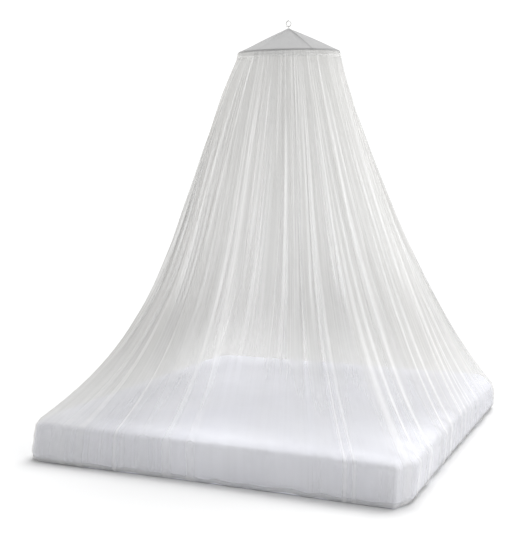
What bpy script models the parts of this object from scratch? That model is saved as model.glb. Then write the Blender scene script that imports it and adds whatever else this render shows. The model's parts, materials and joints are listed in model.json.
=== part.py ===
"""Mosquito net canopy over a double mattress, in metres, with +Z up.

A bell-shaped net hangs from one ring.  A cord loop joins the ring to a conical cap of close cloth, the
cap is stretched over a hoop, and a heading band under the hoop carries the net.  The net spreads in
uneven folds to the edges of the mattress, falls down its sides, and its hem turns in under the bottom
edge.  The origin is the middle of the mattress's underside.  The foot of the bed is at -Y, and the
head is at +Y.
"""

import math
import random
from collections import namedtuple

import bmesh
import bpy
from mathutils import Matrix, Vector

# Mattress
MATTRESS_WIDTH = 1.80
MATTRESS_LENGTH = 2.00
MATTRESS_THICKNESS = 0.20
MATTRESS_CORNER_RADIUS = 0.06
MATTRESS_TOP_RADIUS = 0.040
MATTRESS_TOP_CORNER_SOFTNESS = 0.09
MATTRESS_BASE_RADIUS = 0.040
CORNER_STEPS = 6
EDGE_STEPS = 4

# What the net hangs from
HANG_X = -0.008
HANG_Y = -0.004
TIP_HEIGHT = 2.088
HOOP_RADIUS = 0.2560
HOOP_TUBE_RADIUS = 0.004
HOOP_TILT = math.radians(5.3)
HOOP_TILT_TOWARDS = math.radians(-78)
HOOP_SIDES = 6
AROUND_STEPS = 60

# Cap
CAP_THICKNESS = 0.0015
CAP_HEIGHT = 0.118
CAP_TIP_RADIUS = 0.0066
CAP_SAG = 0.002
CAP_TURNDOWN = 0.004
CAP_RINGS = 4

# Heading band
BAND_THICKNESS = 0.0015
BAND_HEIGHT = 0.038
BAND_FLARE = 0.0105
BAND_PLEATS = 30
BAND_PLEAT_DEPTH = 0.0012

# Hanging ring and its loop
RING_RADIUS = 0.015
RING_WIRE_RADIUS = 0.0025
RING_CENTRE_HEIGHT = 2.114
RING_TURN = math.radians(-15)
RING_STEPS = 28
RING_SIDES = 8
LOOP_CORD_RADIUS = 0.0014
LOOP_LEG_SPREAD = 0.0045
LOOP_DEPTH_IN_CAP = 0.010

# Net
NET_THICKNESS = 0.0015
NET_CLEARANCE = 0.004
NET_TOP_OVERLAP = 0.010
NET_PLEAT_DEPTH = 0.003
NET_LANDING_ANGLE = math.radians(48)
NET_SIDE_CLEARANCE = 0.0008
NET_HEM_TUCK = 0.0015
NET_HEM_TURN_HEIGHT = 0.046
NET_HEM_SLOPE = 0.8
COLUMNS_PER_FOLD = 5
FOLD_SEED = 11
FOLD_WIDTH_SPREAD = 0.38
FOLD_DEPTH_SPREAD = 0.40
FOLD_SWAY = 0.018

GAP = 0.0005
SLOPE_STEP = 0.001

# How deep the folds are on the way down from the band, 0, to the mattress, 1.
Fall = namedtuple("Fall", "drop depth")
FALLS = (
    Fall(drop=0.00, depth=0.004),
    Fall(drop=0.10, depth=0.012),
    Fall(drop=0.25, depth=0.022),
    Fall(drop=0.42, depth=0.030),
    Fall(drop=0.59, depth=0.034),
    Fall(drop=0.75, depth=0.032),
    Fall(drop=0.89, depth=0.019),
    Fall(drop=1.00, depth=0.010),
)

# The net's folds, side by side round the bed, from the foot's left end anticlockwise.
Section = namedtuple("Section", "name start_deg folds hang_share side_depth")
SECTIONS = (
    Section(name="foot", start_deg=-123, folds=7, hang_share=0.90, side_depth=0.003),
    Section(name="foot_right", start_deg=-57, folds=3, hang_share=1.00, side_depth=0.010),
    Section(name="right", start_deg=-39, folds=7, hang_share=0.85, side_depth=0.010),
    Section(name="head_right", start_deg=39, folds=3, hang_share=0.80, side_depth=0.010),
    Section(name="head", start_deg=57, folds=7, hang_share=1.00, side_depth=0.006),
    Section(name="head_left", start_deg=123, folds=3, hang_share=1.10, side_depth=0.010),
    Section(name="left", start_deg=141, folds=7, hang_share=0.85, side_depth=0.008),
    Section(name="foot_left", start_deg=219, folds=3, hang_share=0.75, side_depth=0.006),
)

# How the net falls, direction by direction, eased in between.  even is the share of its spread that
# comes evenly all the way down, late is how late the rest comes, and a bow under 1 swells the top.
# top_out and base_out are how far it stands off the mattress's side at the top and at the base, and
# lift is how far its folds lift the hem off the floor.
Direction = namedtuple("Direction", "azimuth_deg even late bow top_out base_out lift")
DIRECTIONS = (
    Direction(azimuth_deg=-90, even=0.60, late=4.5, bow=1.00, top_out=0.001, base_out=0.000, lift=0.002),
    Direction(azimuth_deg=-52, even=0.73, late=4.9, bow=1.08, top_out=0.010, base_out=0.004, lift=0.003),
    Direction(azimuth_deg=-42, even=0.77, late=5.0, bow=1.12, top_out=0.016, base_out=0.003, lift=0.026),
    Direction(azimuth_deg=-22, even=0.85, late=5.2, bow=1.20, top_out=0.004, base_out=0.000, lift=0.010),
    Direction(azimuth_deg=0, even=0.90, late=5.3, bow=1.26, top_out=0.002, base_out=0.000, lift=0.005),
    Direction(azimuth_deg=48, even=0.92, late=5.6, bow=1.26, top_out=0.002, base_out=0.005, lift=0.003),
    Direction(azimuth_deg=90, even=0.72, late=5.0, bow=1.05, top_out=0.001, base_out=0.000, lift=0.003),
    Direction(azimuth_deg=132, even=0.60, late=5.0, bow=0.95, top_out=0.003, base_out=0.006, lift=0.004),
    Direction(azimuth_deg=180, even=0.50, late=4.9, bow=0.87, top_out=0.001, base_out=0.000, lift=0.003),
    Direction(azimuth_deg=228, even=0.49, late=5.4, bow=0.87, top_out=0.006, base_out=0.020, lift=0.002),
)

# Creases of the cap: the sewn seam is the first, the others are where the cloth breaks over the hoop.
Crease = namedtuple("Crease", "azimuth_deg rise spread_deg")
CREASES = (
    Crease(azimuth_deg=-42, rise=0.0045, spread_deg=11),
    Crease(azimuth_deg=-104, rise=0.0030, spread_deg=16),
    Crease(azimuth_deg=-164, rise=0.0035, spread_deg=15),
    Crease(azimuth_deg=139, rise=0.0030, spread_deg=16),
    Crease(azimuth_deg=78, rise=0.0035, spread_deg=15),
    Crease(azimuth_deg=18, rise=0.0030, spread_deg=16),
)

CAP_TIP = Vector((HANG_X, HANG_Y, TIP_HEIGHT))
BAND_TOP_RADIUS = HOOP_RADIUS + HOOP_TUBE_RADIUS + CAP_THICKNESS + 2 * GAP


def clear_scene():
    for item in list(bpy.data.objects):
        bpy.data.objects.remove(item, do_unlink=True)


def make_material(name, colour, roughness, metallic=0.0):
    material = bpy.data.materials.new(name)
    material.use_nodes = True
    shader = material.node_tree.nodes["Principled BSDF"]
    shader.inputs["Base Color"].default_value = (*colour, 1.0)
    shader.inputs["Roughness"].default_value = roughness
    shader.inputs["Metallic"].default_value = metallic
    return material


def add_object(name, mesh, material):
    item = bpy.data.objects.new(name, mesh)
    bpy.context.scene.collection.objects.link(item)
    mesh.materials.append(material)
    return item


def make_grid(name, columns, closed_down=False):
    """A mesh of quads over a list of columns of points, closed round from the last column to the first."""
    shape = bmesh.new()
    rows = [[shape.verts.new(point) for point in column] for column in columns]
    down = len(columns[0])
    for here, beside in zip(rows, rows[1:] + rows[:1]):
        for step in range(down if closed_down else down - 1):
            after = (step + 1) % down
            shape.faces.new((here[step], here[after], beside[after], beside[step]))
    if closed_down:
        bmesh.ops.recalc_face_normals(shape, faces=shape.faces)
    mesh = bpy.data.meshes.new(name)
    shape.to_mesh(mesh)
    shape.free()
    return mesh


def smooth(mesh, angle_deg):
    mesh.shade_smooth()
    mesh.set_sharp_from_angle(angle=math.radians(angle_deg))


def thicken(item, thickness):
    """Gives a sheet its thickness outwards, on the side its normals point to."""
    wall = item.modifiers.new("Thickness", "SOLIDIFY")
    wall.thickness = thickness
    wall.offset = 1.0
    wall.use_even_offset = True
    wall.thickness_clamp = 0.0


def at_hoop(radius, azimuth, rise):
    """A point given by its radius, azimuth and rise over the hoop's centre, as the hoop hangs tilted."""
    axis = Vector((-math.sin(HOOP_TILT_TOWARDS), math.cos(HOOP_TILT_TOWARDS), 0))
    below_tip = Vector((radius * math.cos(azimuth), radius * math.sin(azimuth), rise - CAP_HEIGHT))
    return CAP_TIP + Matrix.Rotation(HOOP_TILT, 3, axis) @ below_tip


def corner_softening(rise_angle):
    """How much rounder the mattress's corners are this far up round its top edge, 0 to 90 degrees."""
    return MATTRESS_TOP_CORNER_SOFTNESS * max(0.0, math.sin(rise_angle)) ** 2


def mattress_reach(azimuth, grow, rise_angle=0.0):
    """How far the mattress's outline, grown by this much, is from its middle in one direction."""
    across = abs(math.cos(azimuth))
    along = abs(math.sin(azimuth))
    half_width = MATTRESS_WIDTH / 2 + grow
    half_length = MATTRESS_LENGTH / 2 + grow
    radius = MATTRESS_CORNER_RADIUS + grow + corner_softening(rise_angle)
    reach = min(half_width / max(across, 1e-9), half_length / max(along, 1e-9))
    corner_x = half_width - radius
    corner_y = half_length - radius
    if reach * across > corner_x and reach * along > corner_y:
        nearest = corner_x * across + corner_y * along
        reach = nearest + math.sqrt(nearest**2 - corner_x**2 - corner_y**2 + radius**2)
    return reach


def section_ends():
    """Pairs of a section and the azimuth where it ends, in degrees."""
    ends = [section.start_deg for section in SECTIONS[1:]] + [SECTIONS[0].start_deg + 360]
    return list(zip(SECTIONS, ends))


def direction_at(azimuth):
    """How the net falls at this azimuth, eased from one of the eight directions to the next."""
    turned = DIRECTIONS[0].azimuth_deg + (math.degrees(azimuth) - DIRECTIONS[0].azimuth_deg) % 360
    here = max(step for step, row in enumerate(DIRECTIONS) if row.azimuth_deg <= turned)
    there = (here + 1) % len(DIRECTIONS)
    span = (DIRECTIONS[there].azimuth_deg - DIRECTIONS[here].azimuth_deg) % 360
    share = (turned - DIRECTIONS[here].azimuth_deg) / span
    share = share * share * (3 - 2 * share)
    eased = [(1 - share) * a + share * b for a, b in zip(DIRECTIONS[here], DIRECTIONS[there])]
    return Direction(*eased)


def bell(drop, row):
    """How far out the net has spread, 0 to 1, once it has dropped this share of its way down."""
    return (row.even * drop + (1 - row.even) * drop**row.late) ** row.bow


def make_mattress(material):
    """A rounded slab: rings of its outline, drawn in round the bottom and top edges."""
    rings = []
    for radius, middle, first_deg in (
        (MATTRESS_BASE_RADIUS, MATTRESS_BASE_RADIUS, -90),
        (MATTRESS_TOP_RADIUS, MATTRESS_THICKNESS - MATTRESS_TOP_RADIUS, 0),
    ):
        for step in range(EDGE_STEPS + 1):
            angle = math.radians(first_deg + 90 * step / EDGE_STEPS)
            grow = radius * (math.cos(angle) - 1)
            rings.append((grow, middle + radius * math.sin(angle), corner_softening(angle)))
    outline = []
    for sign_x, sign_y, first_deg in ((1, 1, 0), (-1, 1, 90), (-1, -1, 180), (1, -1, 270)):
        for step in range(CORNER_STEPS + 1):
            outline.append((sign_x, sign_y, math.radians(first_deg + 90 * step / CORNER_STEPS)))
    shape = bmesh.new()
    loops = []
    for grow, height, softening in rings:
        radius = MATTRESS_CORNER_RADIUS + grow + softening
        loop = []
        for sign_x, sign_y, angle in outline:
            x = sign_x * (MATTRESS_WIDTH / 2 + grow - radius) + radius * math.cos(angle)
            y = sign_y * (MATTRESS_LENGTH / 2 + grow - radius) + radius * math.sin(angle)
            loop.append(shape.verts.new((x, y, height)))
        loops.append(loop)
    for low, high in zip(loops, loops[1:]):
        for step in range(len(low)):
            after = (step + 1) % len(low)
            shape.faces.new((low[step], low[after], high[after], high[step]))
    shape.faces.new(reversed(loops[0]))
    shape.faces.new(loops[-1])
    mesh = bpy.data.meshes.new("mattress")
    shape.to_mesh(mesh)
    shape.free()
    smooth(mesh, 40)
    return add_object("mattress", mesh, material)


def make_hoop(material):
    columns = []
    for step in range(AROUND_STEPS):
        azimuth = 2 * math.pi * step / AROUND_STEPS
        column = []
        for side in range(HOOP_SIDES):
            angle = 2 * math.pi * side / HOOP_SIDES
            radius = HOOP_RADIUS + HOOP_TUBE_RADIUS * math.cos(angle)
            column.append(at_hoop(radius, azimuth, HOOP_TUBE_RADIUS * math.sin(angle)))
        columns.append(column[::-1])
    mesh = make_grid("hoop", columns, closed_down=True)
    smooth(mesh, 80)
    return add_object("hoop", mesh, material)


def crease_rise(azimuth):
    """How far the creases lift the cap's cloth at this azimuth, halfway between the tip and the hoop."""
    rise = -CAP_SAG
    for crease in CREASES:
        apart = math.remainder(azimuth - math.radians(crease.azimuth_deg), 2 * math.pi)
        share = max(0.0, 1 - abs(apart) / math.radians(crease.spread_deg))
        rise += (crease.rise + CAP_SAG) * share**1.5
    return rise


def make_cap(material):
    """A cone stretched over the hoop, open at its tip for the loop, its edge turned down outside the hoop."""
    rim = HOOP_RADIUS + HOOP_TUBE_RADIUS + GAP
    shoulder = HOOP_TUBE_RADIUS + 2 * GAP
    columns = []
    for step in range(AROUND_STEPS):
        azimuth = 2 * math.pi * step / AROUND_STEPS
        column = []
        for ring in range(CAP_RINGS + 1):
            out = ring / CAP_RINGS
            radius = CAP_TIP_RADIUS + (HOOP_RADIUS - CAP_TIP_RADIUS) * out
            rise = shoulder + (CAP_HEIGHT - shoulder) * (1 - out)
            rise += crease_rise(azimuth) * math.sin(math.pi * out)
            column.append(at_hoop(radius, azimuth, rise))
        column.append(at_hoop(rim, azimuth, shoulder - HOOP_TUBE_RADIUS * 0.5))
        column.append(at_hoop(rim, azimuth, -CAP_TURNDOWN))
        columns.append(column)
    mesh = make_grid("cap_cloth", columns)
    smooth(mesh, 30)
    item = add_object("cap_cloth", mesh, material)
    thicken(item, CAP_THICKNESS)
    return item


def band_radius(azimuth, down):
    """The inner radius of the heading band, this share of its height below its top edge."""
    pleat = 0.5 + 0.5 * math.cos(BAND_PLEATS * azimuth)
    return BAND_TOP_RADIUS + BAND_FLARE * down + BAND_PLEAT_DEPTH * down * pleat


def make_band(material):
    columns = []
    for step in range(AROUND_STEPS):
        azimuth = 2 * math.pi * step / AROUND_STEPS
        column = []
        for down in (0.0, 0.5, 1.0):
            rise = HOOP_TUBE_RADIUS - BAND_HEIGHT * down
            column.append(at_hoop(band_radius(azimuth, down), azimuth, rise))
        columns.append(column)
    mesh = make_grid("heading_band", columns)
    smooth(mesh, 30)
    item = add_object("heading_band", mesh, material)
    thicken(item, BAND_THICKNESS)
    return item


def list_folds():
    """One row for each fold: where it starts and ends, its share of the depth, its sway, its section."""
    draw = random.Random(FOLD_SEED)
    folds = []
    for section, end in section_ends():
        widths = [1 + FOLD_WIDTH_SPREAD * draw.uniform(-1, 1) for _ in range(section.folds)]
        start = math.radians(section.start_deg)
        per_share = math.radians(end - section.start_deg) / sum(widths)
        for width in widths:
            depth = 1 + FOLD_DEPTH_SPREAD * draw.uniform(-1, 1)
            sway = FOLD_SWAY * draw.uniform(-1, 1)
            folds.append((start, start + width * per_share, depth, sway, section))
            start += width * per_share
    return folds


def net_column(azimuth, sway, ridge, depth, section):
    """The inside of the net from the band to the hem at one azimuth, ridge 0 in a valley, 1 on a fold."""
    inner = band_radius(math.pi / BAND_PLEATS, 1.0) - GAP - NET_THICKNESS - NET_PLEAT_DEPTH
    top_radius = inner - GAP + NET_PLEAT_DEPTH * ridge
    edge_rise = HOOP_TUBE_RADIUS - BAND_HEIGHT
    column = [at_hoop(top_radius - 0.002, azimuth, edge_rise + NET_TOP_OVERLAP)]
    start = at_hoop(top_radius, azimuth, edge_rise)

    wrap = MATTRESS_TOP_RADIUS + NET_CLEARANCE
    land_grow = wrap * math.cos(NET_LANDING_ANGLE) - MATTRESS_TOP_RADIUS
    land_height = MATTRESS_THICKNESS - MATTRESS_TOP_RADIUS + wrap * math.sin(NET_LANDING_ANGLE)
    reach = mattress_reach(azimuth, land_grow, NET_LANDING_ANGLE)
    end = Vector((reach * math.cos(azimuth), reach * math.sin(azimuth), land_height))
    across = Vector((end.x - start.x, end.y - start.y, 0))
    sideways = Vector((-across.y, across.x, 0)).normalized()
    fall = start.z - end.z
    row = direction_at(azimuth)
    for station in FALLS:
        spread = bell(station.drop, row)
        slope = (bell(station.drop + SLOPE_STEP, row) - spread) / SLOPE_STEP
        point = start + across * spread - Vector((0, 0, fall * station.drop))
        outward = across.normalized() * fall
        outward.z = across.length * slope
        lift = station.depth * depth * section.hang_share * ridge
        if station.drop == 0:
            lift = 0
        point += sideways * (sway * ridge * math.sin(math.pi * station.drop))
        column.append(point + outward.normalized() * lift)

    side = section.side_depth * depth * ridge
    bend = wrap * math.cos(NET_LANDING_ANGLE / 2) - MATTRESS_TOP_RADIUS
    bend_height = MATTRESS_THICKNESS - MATTRESS_TOP_RADIUS + wrap * math.sin(NET_LANDING_ANGLE / 2)
    lift = row.lift * depth * ridge
    for grow, height, rise_angle in (
        (bend + side * 0.7 + row.top_out * 0.7, bend_height, NET_LANDING_ANGLE / 2),
        (NET_CLEARANCE + side + row.top_out, MATTRESS_THICKNESS - MATTRESS_TOP_RADIUS, 0),
        (NET_SIDE_CLEARANCE + side * 0.8 + row.base_out, NET_HEM_TURN_HEIGHT + lift, 0),
        (side * 0.5 + row.base_out + NET_HEM_SLOPE * lift - NET_HEM_TUCK, NET_THICKNESS + lift, 0),
    ):
        reach = mattress_reach(azimuth, grow, rise_angle)
        column.append(Vector((reach * math.cos(azimuth), reach * math.sin(azimuth), height)))
    return column


def make_net(material):
    """One sheet with its folds, from inside the heading band to the hem under the mattress's edge."""
    columns = []
    for start, end, depth, sway, section in list_folds():
        for step in range(COLUMNS_PER_FOLD):
            across = step / COLUMNS_PER_FOLD
            ridge = 0.5 - 0.5 * math.cos(2 * math.pi * across)
            azimuth = start + (end - start) * across
            columns.append(net_column(azimuth, sway, ridge, depth, section))
    mesh = make_grid("net", columns)
    smooth(mesh, 60)
    item = add_object("net", mesh, material)
    thicken(item, NET_THICKNESS)
    return item


def sweep_ring(name, path, sides, radius, material):
    """A closed round cord or wire along a closed flat path of points."""
    middle = sum(path, Vector()) / len(path)
    normal = (path[0] - middle).cross(path[len(path) // 4] - middle).normalized()
    columns = []
    for step, point in enumerate(path):
        forward = (path[(step + 1) % len(path)] - path[step - 1]).normalized()
        beside = forward.cross(normal)
        column = []
        for side in range(sides):
            angle = 2 * math.pi * side / sides
            column.append(point + (beside * math.cos(angle) + normal * math.sin(angle)) * radius)
        columns.append(column)
    mesh = make_grid(name, columns, closed_down=True)
    smooth(mesh, 80)
    return add_object(name, mesh, material)


def make_ring(material):
    sideways = Vector((math.cos(RING_TURN), math.sin(RING_TURN), 0))
    centre = Vector((HANG_X, HANG_Y, RING_CENTRE_HEIGHT))
    path = []
    for step in range(RING_STEPS):
        angle = 2 * math.pi * step / RING_STEPS
        path.append(centre + (sideways * math.cos(angle) + Vector((0, 0, math.sin(angle)))) * RING_RADIUS)
    return sweep_ring("hanging_ring", path, RING_SIDES, RING_WIRE_RADIUS, material)


def make_loop(material):
    """A narrow upright loop: round the ring's lowest wire at its top, and down through the cap's tip."""
    through = Vector((-math.sin(RING_TURN), math.cos(RING_TURN), 0))
    up = Vector((0, 0, 1))
    ring_bottom = RING_CENTRE_HEIGHT - RING_RADIUS
    top_bend = Vector((HANG_X, HANG_Y, ring_bottom))
    low_bend = CAP_TIP - up * (LOOP_DEPTH_IN_CAP - LOOP_LEG_SPREAD)
    path = []
    for centre, first_deg in ((top_bend, 0), (low_bend, 180)):
        for step in range(7):
            angle = math.radians(first_deg + 30 * step)
            path.append(centre + (through * math.cos(angle) + up * math.sin(angle)) * LOOP_LEG_SPREAD)
    return sweep_ring("hanging_loop", path, 6, LOOP_CORD_RADIUS, material)


def main():
    clear_scene()
    net_white = make_material("net_cloth", (0.86, 0.86, 0.85), 0.85)
    make_mattress(make_material("mattress_cloth", (0.80, 0.81, 0.84), 0.90))
    make_hoop(make_material("hoop_plastic", (0.80, 0.80, 0.79), 0.45))
    make_cap(make_material("cap_cloth", (0.62, 0.63, 0.64), 0.85))
    make_band(net_white)
    make_net(net_white)
    make_loop(make_material("cord_white", (0.82, 0.82, 0.80), 0.80))
    make_ring(make_material("ring_steel", (0.60, 0.60, 0.60), 0.30, 1.0))


main()
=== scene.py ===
"""Looks of the mosquito net canopy over its mattress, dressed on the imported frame.

The net is one gathered sheet with its big folds, its fine pleats and its hem.  The cap, the heading band,
the cord loop and the ring are made finer here than in the frame, and the mattress gets its cotton cover.
Sizes are metres, +Z is up, and the origin is the middle of the mattress's underside.
"""

import json
import math
import random
from collections import namedtuple

import bmesh
import bpy
import numpy as np
from mathutils import Matrix, Vector

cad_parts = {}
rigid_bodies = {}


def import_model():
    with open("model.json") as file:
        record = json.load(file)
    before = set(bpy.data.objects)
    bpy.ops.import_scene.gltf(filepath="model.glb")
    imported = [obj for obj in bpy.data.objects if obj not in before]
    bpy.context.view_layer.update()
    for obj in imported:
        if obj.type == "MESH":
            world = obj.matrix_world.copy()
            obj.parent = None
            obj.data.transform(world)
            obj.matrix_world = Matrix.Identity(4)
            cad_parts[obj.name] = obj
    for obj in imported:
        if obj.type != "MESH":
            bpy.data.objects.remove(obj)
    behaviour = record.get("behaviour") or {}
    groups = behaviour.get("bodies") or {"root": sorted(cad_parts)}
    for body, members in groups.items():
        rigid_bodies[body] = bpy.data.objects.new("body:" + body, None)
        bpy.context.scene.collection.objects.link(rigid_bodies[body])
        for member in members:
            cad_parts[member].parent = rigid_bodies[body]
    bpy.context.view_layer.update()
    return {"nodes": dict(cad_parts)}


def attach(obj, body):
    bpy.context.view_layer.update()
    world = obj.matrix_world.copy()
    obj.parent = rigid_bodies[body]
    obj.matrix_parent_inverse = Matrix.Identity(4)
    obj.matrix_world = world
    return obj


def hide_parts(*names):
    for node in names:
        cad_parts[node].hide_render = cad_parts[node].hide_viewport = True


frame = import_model()

# -------- sizes, most of them the frame's own: the mattress
MATTRESS_WIDTH = 1.80
MATTRESS_LENGTH = 2.00
MATTRESS_THICKNESS = 0.20
MATTRESS_CORNER_RADIUS = 0.06
# Its bottom edge is round, with at least the smaller radius where the hem hangs straight past it.
MATTRESS_EDGE_RADIUS = 0.040
MATTRESS_LEAST_RADIUS = 0.014
# Its soft top edge reaches this far in and this far down.
MATTRESS_EDGE_DEPTH = 0.070
MATTRESS_EDGE_HEIGHT = 0.041
MATTRESS_TOP_CORNER_SOFTNESS = 0.09
# The foot's right corner is pulled crisp by the net, and cut across at this reach, facing this way.
CRISP_CORNER = math.radians(-48)
CRISP_CORNER_SPAN = math.radians(40)
CRISP_CORNER_RADIUS = 0.020
CRISP_CORNER_SOFTNESS = 0.012
CORNER_CUT_FACING = math.radians(-26)
CORNER_CUT_REACH = 1.203
CORNER_CUT_LEAST_COSINE = 0.5
NO_CUT_REACH = 9.0

# Cap, hoop and heading band
CAP_TIP = Vector((-0.008, -0.004, 2.088))
CAP_HEIGHT = 0.118
CAP_TIP_RADIUS = 0.0066
HOOP_RADIUS = 0.2560
HOOP_TUBE_RADIUS = 0.004
HOOP_TILT = math.radians(5.3)
HOOP_TILT_TOWARDS = math.radians(-78)
GAP = 0.0005

# The cap's cloth goes between the hoop and the band.
BAND_CLEARANCE = 0.0025
BAND_TOP_RADIUS = HOOP_RADIUS + HOOP_TUBE_RADIUS + BAND_CLEARANCE
BAND_HEIGHT = 0.038
BAND_FLARE = 0.0105

# Hanging ring and its cord loop
RING_CENTRE_HEIGHT = 2.114
RING_CENTRE = Vector((CAP_TIP.x, CAP_TIP.y, RING_CENTRE_HEIGHT))
RING_RADIUS = 0.015
RING_WIRE_RADIUS = 0.0025
RING_SEEN_WIRE_RADIUS = 0.0028
RING_TURN = math.radians(-15)
WELD_ANGLE = math.radians(150)
WELD_SWELL = 1.14
TOUCH = 0.0001
LOOP_CORD_RADIUS = 0.0014
LOOP_LEG_SPREAD = 0.0045
LOOP_DEPTH_IN_CAP = 0.010
LOOP_BEND_STEPS = 12
LOOP_CORD_SIDES = 12

# Net, which lands on the mattress's top edge at this angle round it, and whose hem turns in low down
NET_LANDING_ANGLE = math.radians(31)
NET_TOP_INSET = 0.0050
NET_CLEARANCE = 0.004
NET_SIDE_CLEARANCE = 0.0016
NET_HEM_TURN_HEIGHT = 0.046
NET_HEM_END_HEIGHT = 0.0020
FOLD_SEED = 11
FOLD_WIDTH_SPREAD = 0.38
FOLD_DEPTH_SPREAD = 0.40
FOLD_EASE = 0.62
FOLD_SWAY = 0.018
SLOPE_STEP = 0.001
TURN_STEP = 0.004
STEEPEST_TIP = 1.4
TINY = 1e-9
SIDE_FOLD_AT_TURN = 0.8
HEM_FOLD_LOSS = 0.4

# How deep the big folds are and how high the pleats on them, on the way down from the band, 0, to the
# mattress, 1.
Fall = namedtuple("Fall", "drop depth pleat")
FALLS = (
    Fall(drop=0.00, depth=0.000, pleat=0.0035),
    Fall(drop=0.10, depth=0.012, pleat=0.0060),
    Fall(drop=0.25, depth=0.022, pleat=0.0095),
    Fall(drop=0.42, depth=0.030, pleat=0.0120),
    Fall(drop=0.59, depth=0.034, pleat=0.0130),
    Fall(drop=0.75, depth=0.032, pleat=0.0120),
    Fall(drop=0.89, depth=0.019, pleat=0.0100),
    Fall(drop=1.00, depth=0.010, pleat=0.0070),
)
SIDE_PLEAT = 0.0045
SIDE_PLEAT_LOSS = 0.3

# The net's big folds, side by side round the bed, from the foot's left end anticlockwise.
Section = namedtuple("Section", "start_deg folds hang_share side_depth")
SECTIONS = (
    Section(start_deg=-123, folds=7, hang_share=0.90, side_depth=0.003),  # foot
    Section(start_deg=-57, folds=3, hang_share=1.00, side_depth=0.010),  # foot right
    Section(start_deg=-39, folds=7, hang_share=0.85, side_depth=0.010),  # right
    Section(start_deg=39, folds=3, hang_share=0.80, side_depth=0.010),  # head right
    Section(start_deg=57, folds=7, hang_share=1.00, side_depth=0.006),  # head
    Section(start_deg=123, folds=3, hang_share=1.10, side_depth=0.010),  # head left
    Section(start_deg=141, folds=7, hang_share=0.62, side_depth=0.008),  # left
    Section(start_deg=219, folds=3, hang_share=0.62, side_depth=0.003),  # foot left
)

# How the net falls, direction by direction, eased in between.  even is the share of its spread that
# comes evenly all the way down, late is how late the rest comes, and a bow under 1 swells the top.
# top_out and base_out are how far it stands off the mattress's side at the top and at the base, lift is
# how far its folds lift the hem, and tuck is how far the hem follows the mattress's bottom edge inwards.
# soft is how soft the mattress's top edge is, full is how densely the net is gathered, and swell is how
# far the whole net hangs outwards, as a share of its folds' depth.
Direction = namedtuple("Direction", "azimuth_deg even late bow top_out base_out lift tuck soft full swell")
DIRECTIONS = (
    Direction(
        azimuth_deg=-90, even=0.60, late=4.5, bow=1.00, top_out=0.001, base_out=0.000,
        lift=0.007, tuck=0.1, soft=1.0, full=0.70, swell=0.00,
    ),
    Direction(
        azimuth_deg=-52, even=0.73, late=4.9, bow=1.08, top_out=0.010, base_out=0.004,
        lift=0.008, tuck=0.1, soft=1.0, full=1.00, swell=0.10,
    ),
    Direction(
        azimuth_deg=-42, even=0.77, late=5.0, bow=1.12, top_out=0.016, base_out=0.003,
        lift=0.014, tuck=1.0, soft=1.0, full=1.04, swell=0.20,
    ),
    Direction(
        azimuth_deg=-22, even=0.85, late=5.2, bow=1.20, top_out=0.004, base_out=0.000,
        lift=0.018, tuck=1.0, soft=1.0, full=1.16, swell=0.35,
    ),
    Direction(
        azimuth_deg=0, even=0.90, late=5.3, bow=1.26, top_out=0.002, base_out=0.000,
        lift=0.014, tuck=1.0, soft=1.1, full=1.20, swell=0.45,
    ),
    Direction(
        azimuth_deg=48, even=0.92, late=5.6, bow=1.26, top_out=0.002, base_out=0.005,
        lift=0.008, tuck=1.0, soft=2.6, full=1.20, swell=0.45,
    ),
    Direction(
        azimuth_deg=90, even=0.72, late=5.0, bow=1.05, top_out=0.001, base_out=0.000,
        lift=0.005, tuck=1.0, soft=1.1, full=1.20, swell=0.30,
    ),
    Direction(
        azimuth_deg=132, even=0.60, late=5.0, bow=0.95, top_out=0.003, base_out=0.006,
        lift=0.006, tuck=1.0, soft=1.4, full=1.20, swell=0.50,
    ),
    Direction(
        azimuth_deg=180, even=0.50, late=4.9, bow=0.87, top_out=0.001, base_out=0.000,
        lift=0.006, tuck=1.0, soft=1.0, full=1.45, swell=0.75,
    ),
    Direction(
        azimuth_deg=228, even=0.49, late=5.4, bow=0.87, top_out=0.006, base_out=0.025,
        lift=0.006, tuck=0.5, soft=1.0, full=1.50, swell=0.70,
    ),
)

# -------- sizes of the looks alone
# The net before it is hung: its hem's width and its length.  Its panels taper to the top.
NET_HEM_WIDTH = 8.5
NET_LENGTH = 2.35

NET_THREAD_PITCH = 0.0040
NET_SHADING_SOFTNESS = 0.85
NET_DENSITY = 0.525
NET_FLANK_THINNING = 0.70
HEM_WIDTH = 0.022
BAND_FLAT_LENGTH = 1.70
BAND_THREAD_PITCH = 0.0030
BAND_DENSITY = 0.03
BAND_COLUMNS = 720
BAND_ROWS = (0.0, 0.04, 0.12, 0.25, 0.40, 0.55, 0.70, 0.82, 0.90, 0.96, 1.0)
BAND_PLEAT = 0.0011
BAND_PLEATS_FULL = 0.9

BELL_ROWS = 38
BELL_ROW_CROWDING = 0.92
ROUND_ROWS = 3
SIDE_ROWS = 7
HEM_ROWS = 4
# The rows that the band holds are at these shares of its height from its top, the lowest row first.
HELD_SHARES = (0.80, 0.55, 0.30, 0.12)
HELD_INSET = 0.0012
HELD_FLARE = BAND_FLARE - 0.0038
HELD_PLEAT = 0.0010

# How densely the net looks: the gathers tell more and more on the way down, and less on the mattress.
GATHERS_AT_TOP = 0.3
GATHERS_PER_LENGTH = 1.5
GATHERS_BESIDE_MATTRESS = 0.50
LEAST_BESIDE_MATTRESS = 0.60
FLANK_BESIDE_MATTRESS = 0.15

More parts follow.
